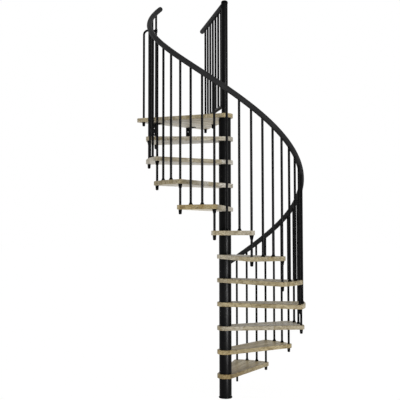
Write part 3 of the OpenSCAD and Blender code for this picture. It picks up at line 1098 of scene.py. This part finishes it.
@dataclass
class Balusters(SubAssembly):
    """Rods under the helical handrail, coped to it, with their feet, collars and end caps."""

    ease: float = 0.0010
    sink: float = 0.0010
    foot_height: float = 0.016
    foot_radius: float = 0.0165
    collar_height: float = 0.034
    collar_radius: float = 0.0175
    cap_radius: float = 0.0145
    cap_ease: Pair = (0.0005, 0.0008)
    cap_steps: int = 9
    wall: float = 0.002
    rim: float = 0.004
    rim_ease: Pair = (0.0004, 0.0008)
    lip: float = 0.0006
    flank_power: float = 1.35
    flank_steps: int = 7

    @property
    def narrow(self) -> float:
        """Radius of a fitting at its narrow end."""
        return self.sizes.rod_bore + self.wall

    def bottom(self, k: int) -> float:
        """Height of the lower end of a baluster: the floor, a tread, or the seat in an end cap.

        Args:
            k: the baluster's number.

        Returns:
            The height.
        """
        s = self.sizes
        if k == 0:
            return 0.0
        if s.is_long(k):
            return float(s.tread_under(k // s.per_step)) - s.seat_depth
        return s.rise * math.ceil(k / s.per_step)

    def rods(self, ks: range) -> Shell:
        """Rods with a coped top.

        At turn q round the rod, its top lies where a line up the rod meets the sloping handrail: axis height
        - (b sin q sin s + sqrt(R R - b b cos q cos q)) / cos s, for rod radius b, rail radius R and slope s.

        Args:
            ks: the balusters' numbers.

        Returns:
            One shell with all the rods.
        """
        s = self.sizes
        out, behind = np.moveaxis(along(full_turn(ROD_SIDES), s.rod), -1, 0)
        slope = s.rail_slope
        fall = (behind * math.sin(slope) + np.sqrt(s.rail ** 2 - out ** 2)) / math.cos(slope)
        radii = np.array([s.rod - self.ease, s.rod, s.rod])
        made = []
        for k in ks:
            low = self.bottom(k)
            heights = (low, low + self.ease, float(s.rail_z(k)) + self.sink - fall)
            made.append(upright(s.rod_at(k), float(s.rod_angle(k)), radii, heights))
        return joined(made)

    def cone(self, wide: float, height: float) -> Array:
        """Closed profile of a cup: a straight rim, then a hollow flank whose radius falls by a power.

        Args:
            wide: radius of the rim, at height 0.
            height: height of the narrow end.

        Returns:
            An (n, 2) array of radius and height.
        """
        bore, narrow = self.sizes.rod_bore, self.narrow
        t = np.linspace(0.0, 1.0, self.flank_steps)
        flank = np.stack([narrow + (wide - narrow) * (1 - t) ** self.flank_power,
                          self.rim + (height - self.rim - self.lip) * t], -1)
        foot = [[bore, 0.0], [wide - self.rim_ease[0], 0.0], [wide, self.rim_ease[1]]]
        return np.concatenate([foot, flank, [[narrow - self.lip, height], [bore, height]]])

    def end_cap(self) -> Shell:
        """Cup under the timber: a tapered wall and a low domed end, with the rod's seat inside.

        Returns:
            The closed cup, with its rim at height 0.
        """
        s = self.sizes
        dome = crown(self.narrow, -s.cap_floor, self.cap_steps) - [0.0, s.seat_depth]
        wall = [[self.cap_radius, -self.cap_ease[1]], [self.cap_radius - self.cap_ease[0], 0.0]]
        seat = [[s.rod_bore, 0.0], [s.rod_bore, -s.seat_depth], [0.0, -s.seat_depth]]
        return turned_solid(np.concatenate([dome, wall, seat]), FITTING_SIDES)

    def fittings(self) -> Iterator[Piece]:
        """Feet under the short rods, and collars and end caps under the boards.

        Yields:
            The three pieces.
        """
        s = self.sizes
        short = [k for k in range(s.last + 1) if not s.is_long(k)]
        boards = np.arange(1, s.treads + 2)
        under = s.tread_under(boards)
        hung = self.cone(self.collar_radius, self.collar_height)[::-1] * [1.0, -1.0]
        foot, collar = (
            turned_ring(cup, FITTING_SIDES) for cup in (self.cone(self.foot_radius, self.foot_height), hung))
        feet = foot.repeated(placed(s.rod_at(short), [self.bottom(k) for k in short]))
        yield Piece("baluster_foot_cups", feet, Slot.FITTING, ("baluster_feet",))
        collars = collar.repeated(placed(s.rod_at(s.per_step * (boards - 1)), under))
        yield Piece("baluster_collar_cones", collars, Slot.FITTING, ("baluster_collars",))
        caps = self.end_cap().repeated(placed(s.rod_at(s.per_step * boards[:-1]), under[:-1]))
        yield Piece("baluster_end_domes", caps, Slot.FITTING, ("baluster_end_caps",))

    def pieces(self) -> Iterator[Piece]:
        """The rods of each step, of which the upper ones glint, and then their fittings.

        Yields:
            Each piece.
        """
        s = self.sizes
        for n in range(1, s.treads + 2):
            ks = range(s.per_step * (n - 1), min(s.per_step * n, s.last + 1))
            sheen = Sheen.RODS if n > s.treads / 2 else None
            yield Piece(f"baluster_rods_{n:02d}", self.rods(ks), Slot.STEEL, (f"balusters_{n:02d}",), sheen)
        yield from self.fittings()


@dataclass
class Handrail(SubAssembly):
    """Round handrail on a helix, with domed ends and the fine seams between its lengths."""

    stations: int = 6  # from baluster to baluster
    dome_turns: Pair = (86.0, 12.0)
    dome_steps: int = 7
    seam_ks: tuple[float, ...] = (9.4, 20.6, 31.6)
    seam_depth: float = 0.0008
    seam_half: float = 0.0011
    seam_reach: float = 2.5  # half widths
    seam_steps: int = 11
    sharp: float = 60.0

    def shell(self) -> Shell:
        """Round section along the helix.

        The axis turns with the balusters and climbs evenly. A dome at each end shrinks the radius with the
        cosine of an angle and moves on with its sine. A seam is a bell-shaped dip of the radius.

        Returns:
            The closed rail.
        """
        s = self.sizes
        over = s.rail_overrun * s.per_step / s.step_angle
        per_k = math.hypot(s.rod_radius * math.radians(s.step_angle), s.rise) / s.per_step
        even = np.linspace(-over, s.last + over, int((s.last + 2 * over) * self.stations) + 1)
        near = np.linspace(-self.seam_reach, self.seam_reach, self.seam_steps) * self.seam_half / per_k
        k = np.unique(np.concatenate([even] + [near + c for c in self.seam_ks]))
        dip = sum(np.exp(-(((k - c) * per_k / self.seam_half) ** 2)) for c in self.seam_ks)
        turn = np.radians(np.linspace(*self.dome_turns, self.dome_steps))
        back = turn[::-1]
        k = np.concatenate([np.full(len(turn), -over), k, np.full(len(turn), s.last + over)])
        push = np.concatenate([-np.sin(turn), 0 * dip, np.sin(back)]) * s.rail
        radii = np.concatenate([np.cos(turn) * s.rail, s.rail - self.seam_depth * dip, np.cos(back) * s.rail])
        angle = s.rod_angle(k)
        out = placed(along(angle, 1.0), 0.0)
        path = placed(along(angle - 90.0, math.cos(s.rail_slope)), math.sin(s.rail_slope))
        axis = placed(s.rod_at(k), s.rail_z(k))
        poles = np.stack([axis[0] - s.rail * path[0], axis[-1] + s.rail * path[-1]])
        return swept(axis + push[:, None] * path, radii, out, np.cross(path, out), RAIL_SIDES, poles)

    def pieces(self) -> Iterator[Piece]:
        """The handrail."""
        yield Piece("helical_handrail", self.shell(), Slot.RAIL, ("handrail",), sharp=self.sharp)


@dataclass
class LandingRailing(SubAssembly):
    """Straight railing on the landing: two rails, seven bars and the caps under the through bars."""

    top_rail: float = 0.023
    top_over: float = 0.162
    bottom_rail: float = 0.016
    bottom_height: float = 0.073
    bottom_over: float = 0.020
    dome_turn: float = 84.0
    dome_steps: int = 8
    sink: float = 0.0010

    def rail(self, radius: float, height: float, over: float) -> Shell:
        """Round rail from inside the core tube to a free end, which is domed by a cosine and a sine.

        Args:
            radius: the rail's radius.
            height: height of its axis above the landing.
            over: its length past the outermost bar.

        Returns:
            The closed rail.
        """
        s = self.sizes
        ahead = placed(along(s.railing_angle, 1.0), 0.0)
        base = placed(s.railing_at(0.0), s.landing_top + height)
        reach = s.railing_reach + over
        turn = np.radians(np.linspace(0.0, self.dome_turn, self.dome_steps))
        run = np.append(0.0, reach - radius + radius * np.sin(turn))
        radii = np.append(radius, radius * np.cos(turn))
        across = np.cross(UP, ahead)
        poles = np.stack([base, base + reach * ahead])
        return swept(base + run[:, None] * ahead, radii, across, np.cross(ahead, across), RAIL_SIDES, poles)

    def bars(self) -> Shell:
        """Bars between the rails, or through the landing into their caps, each end sunk into what it meets.

        At turn q round a bar, an end lies sqrt(R R - b b sin q sin q) from a rail's axis, for radii R and b.

        Returns:
            One shell with all the bars.
        """
        s = self.sizes
        _, side = np.moveaxis(along(full_turn(ROD_SIDES), s.rod), -1, 0)
        fall, climb = (np.sqrt(r ** 2 - side ** 2) for r in (self.top_rail, self.bottom_rail))
        top = s.landing_top + s.top_rail_height - fall + self.sink
        low = s.landing_top + self.bottom_height + climb - self.sink
        seat = s.landing_under - s.seat_depth
        return joined([
            upright(place, s.railing_angle, np.full(2, s.rod), (seat if through else low, top))
            for place, through in zip(s.railing_at(s.bar_runs()), s.through_bars())])

    def pieces(self) -> Iterator[Piece]:
        """The two rails, the bars and the caps.

        Yields:
            Each piece.
        """
        s = self.sizes
        top = self.rail(self.top_rail, s.top_rail_height, self.top_over)
        yield Piece("railing_hand_bar", top, Slot.RAIL, ("railing_top_rail",))
        low = self.rail(self.bottom_rail, self.bottom_height, self.bottom_over)
        yield Piece("railing_foot_bar", low, Slot.STEEL, ("railing_bottom_rail",))
        yield Piece("railing_rods", self.bars(), Slot.STEEL, ("railing_bars",))
        caps = Balusters(s).end_cap().repeated(placed(s.through_at(), s.landing_under))
        yield Piece("railing_end_domes", caps, Slot.FITTING, ("railing_end_caps",))


@dataclass
class CornerGuard(SubAssembly):
    """Bent rod from the landing's corner to the last long baluster, with its clamp and its cap."""

    height: float = 0.824
    bend: float = 0.045
    bend_steps: int = 17
    sink: float = 0.001
    clamp_radius: float = 0.0135
    clamp_half: float = 0.015
    clamp_ease: float = 0.002

    def rod(self) -> Shell:
        """Rod along a line, a quarter circle and a line, in one upright plane.

        Returns:
            The closed rod.
        """
        s = self.sizes
        start, goal = s.guard_at(), s.rod_at(s.last)
        span = float(np.linalg.norm(goal - start))
        ahead = placed((goal - start) / span, 0.0)
        arm = s.landing_top + self.height
        turn = np.radians(np.linspace(0.0, 90.0, self.bend_steps))
        run = np.concatenate([[0.0], self.bend * (1 - np.cos(turn)), [span - s.rod + self.sink]])
        bent = arm - self.bend + self.bend * np.sin(turn)
        z = np.concatenate([[s.landing_under - s.seat_depth], bent, [arm]])
        lean = np.concatenate([[0.0], turn, [math.pi / 2]])[:, None]
        centres = placed(start, 0.0) + run[:, None] * ahead + z[:, None] * UP
        path = np.sin(lean) * ahead + np.cos(lean) * UP
        across = np.cross(ahead, UP)
        radii = np.full(len(run), s.rod)
        return swept(centres, radii, across, np.cross(path, across), ROD_SIDES, centres[[0, -1]])

    def clamp(self) -> Shell:
        """Short sleeve on the baluster where the arm meets it, with rounded rims.

        Returns:
            The closed sleeve.
        """
        s = self.sizes
        h, r, e, bore = self.clamp_half, self.clamp_radius, self.clamp_ease, s.rod_bore
        sleeve = turned_ring(rounded([(r, -h, e), (r, h, e), (bore, h, 0.0), (bore, -h, 0.0)]), FITTING_SIDES)
        return sleeve.repeated(placed(s.rod_at(s.last), s.landing_top + self.height))

    def pieces(self) -> Iterator[Piece]:
        """The rod, its clamp and its cap.

        Yields:
            Each piece.
        """
        s = self.sizes
        yield Piece("corner_guard_bar", self.rod(), Slot.STEEL, ("corner_guard_rod",))
        yield Piece("corner_guard_clamp", self.clamp(), Slot.STEEL)
        cap = Balusters(s).end_cap().repeated(placed(s.guard_at(), s.landing_under))
        yield Piece("corner_guard_dome", cap, Slot.FITTING, ("corner_guard_cap",))


@dataclass
class FloorBrackets(SubAssembly):
    """Flat steels under the landing, kept from the CAD, with the screws that hold them to the timber."""

    inner_x: float = 0.070
    gap: float = 0.006
    width: float = 0.046
    thick: float = 0.006
    hole_start: float = 0.032
    hole_pitch: float = 0.050
    holes: int = 2
    head: float = 0.0085
    head_height: float = 0.0042
    head_sink: float = 0.0006
    head_steps: int = 8

    def screws(self) -> Shell:
        """Round heads under the horizontal legs, each an elliptic bowl.

        Returns:
            One shell with all the heads.
        """
        s = self.sizes
        bowl = crown(self.head, -self.head_height, self.head_steps)
        back = [[self.head, self.head_sink], [0.0, self.head_sink]]
        outer_x = float(s.rod_at(s.last)[0]) + Balusters(s).collar_radius + self.gap + self.width / 2
        rows = s.landing_reach - self.thick - self.hole_start - self.hole_pitch * np.arange(self.holes)
        plan = np.stack(np.meshgrid([self.inner_x, outer_x], rows), -1).reshape(-1, 2)
        head = turned_solid(np.concatenate([bowl, back]), SCREW_SIDES)
        return head.repeated(placed(plan, s.landing_under - self.thick))

    def pieces(self) -> Iterator[Piece]:
        """The screws."""
        yield Piece("bracket_screw_heads", self.screws(), Slot.STEEL)

    def build(self, finishes: Finishes) -> None:
        """Gives the CAD node its material and adds its screws.

        Args:
            finishes: the stair's materials.
        """
        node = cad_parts["floor_brackets"]
        node.data.materials.clear()
        node.data.materials.append(finishes.by_slot[Slot.STEEL])
        super().build(finishes)


@dataclass(frozen=True)
class Lamp:
    """Soft rectangular lamp at a place, aimed at a point, with its width and height in metres and its watts.

    One with a sheen lights only the pieces of that group, and only by what they reflect.
    """

    name: str
    at: Triple
    aim: Triple
    size: Pair
    power: float
    sheen: Sheen | None = None

    def hang(self, finishes: Finishes) -> None:
        """Makes the lamp.

        Args:
            finishes: holds the groups of pieces.
        """
        data = bpy.data.lights.new(self.name, "AREA")
        data.shape = "RECTANGLE"
        data.size, data.size_y = self.size
        data.energy = self.power
        made = bpy.data.objects.new(self.name, data)
        made.location = self.at
        made.rotation_euler = (Vector(self.aim) - Vector(self.at)).to_track_quat("-Z", "Y").to_euler()
        made.visible_camera = False
        if self.sheen:
            made.visible_diffuse = False
            made.light_linking.receiver_collection = finishes.sheens[self.sheen]
        bpy.context.scene.collection.objects.link(made)


@dataclass
class Studio:
    """Camera, white floor and surroundings, and soft lamps."""

    camera_at: Triple = (-3.81498, -4.80288, 1.43991)
    camera_turn: Triple = (92.713, 0.07, -36.386)
    lens: float = 62.25
    sensor: float = 36.0
    far: float = 500.0
    light_colour: tuple[float, ...] = (1.0, 0.995, 0.985, 1.0)
    light_rise: Pair = (0.0, 0.9)
    light: Pair = (0.74, 0.56)  # from the walls and from the ceiling
    floor_tone: float = 0.94
    floor_glow: float = 0.96
    floor_white: float = 1.02
    floor_half: float = 60.0
    floor_drop: float = 0.0005
    lamps: tuple[Lamp, ...] = (
        Lamp("right_softbox", (0.4, -4.6, 1.8), (0.0, 0.0, 1.8), (1.5, 4.6), 45.0),
        Lamp("sheen_strip", (-0.3, -4.6, 1.7), (0.0, 0.0, 1.7), (1.1, 4.6), 2400.0, Sheen.COLUMN),
        Lamp("glint_strip", (-0.3, -4.6, 1.7), (0.0, 0.0, 1.7), (1.1, 4.6), 700.0, Sheen.RODS),
        Lamp("front_fill", (-2.8, -3.6, 0.8), (0.0, 0.0, 2.4), (2.4, 1.2), 50.0),
        Lamp("low_reflector", (-1.1, 0.3, 0.7), (-1.1, 0.3, 3.0), (1.6, 1.8), 7.0),
    )

    def camera(self) -> None:
        """Makes the camera at the photograph's viewpoint."""
        data = bpy.data.cameras.new("view_camera")
        data.lens = self.lens
        data.sensor_width = self.sensor
        data.clip_end = self.far
        made = bpy.data.objects.new("view_camera", data)
        made.location = self.camera_at
        made.rotation_euler = [math.radians(v) for v in self.camera_turn]
        bpy.context.scene.collection.objects.link(made)
        bpy.context.scene.camera = made

    @staticmethod
    def seen(g: NodeGraph) -> Socket:
        """1 for camera, glossy and transmission rays, otherwise 0.

        Args:
            g: the nodes of what is seen.

        Returns:
            The 1 or 0.
        """
        path = g.add("ShaderNodeLightPath").outputs
        mirrored = g.math("MAXIMUM", path["Is Camera Ray"], path["Is Glossy Ray"])
        return g.math("MAXIMUM", mirrored, path["Is Transmission Ray"])

    def world(self) -> None:
        """Makes surroundings that look white and give less light from the ceiling than from the walls."""
        made = bpy.data.worlds.new("white_studio")
        g = NodeGraph(made)
        up = g.out("ShaderNodeSeparateXYZ", {0: g.out("ShaderNodeTexCoord", None, "Generated")}, 2)
        level = g.span(up, self.light_rise, self.light)
        light = g.out("ShaderNodeBackground", {"Color": self.light_colour, "Strength": level})
        white = g.out("ShaderNodeBackground", {"Color": WHITE, "Strength": 1.0})
        both = g.out("ShaderNodeMixShader", {0: self.seen(g), 1: light, 2: white})
        g.add("ShaderNodeOutputWorld", {"Surface": both})
        bpy.context.scene.world = made

    def floor(self) -> None:
        """Makes a wide floor, white where it is seen, which keeps part of the object's shadow."""
        made = bpy.data.materials.new("white_floor")
        g = NodeGraph(made)
        matt = g.out("ShaderNodeBsdfDiffuse", {"Color": (*[self.floor_tone] * 3, 1.0)})
        white = g.out("ShaderNodeEmission", {"Color": WHITE, "Strength": self.floor_white})
        share = g.math("MULTIPLY", self.seen(g), self.floor_glow)
        both = g.out("ShaderNodeMixShader", {0: share, 1: matt, 2: white})
        g.add("ShaderNodeOutputMaterial", {"Surface": both})
        corners = self.floor_half * np.array([[-1.0, -1.0], [1.0, -1.0], [1.0, 1.0], [-1.0, 1.0]])
        piece = Shell(placed(corners, -self.floor_drop), np.array([[0, 1, 2, 3]])).object("studio_floor")
        piece.data.materials.append(made)

    def build(self, finishes: Finishes) -> None:
        """Sets up the whole studio.

        Args:
            finishes: holds the groups of pieces that have a strip lamp of their own.
        """
        self.camera()
        self.world()
        self.floor()
        for lamp in self.lamps:
            lamp.hang(finishes)
        bpy.context.scene.view_settings.view_transform = "Standard"


def main() -> None:
    """Builds the studio, then the stair's pieces in order."""
    logging.basicConfig(level=logging.INFO, format="%(name)s %(message)s")
    sizes = StairSizes()
    finishes = Finishes()
    Studio().build(finishes)
    for assembly in (Timberwork, Column, Balusters, Handrail, LandingRailing, CornerGuard, FloorBrackets):
        assembly(sizes).build(finishes)


if __name__ == "__main__":
    main()
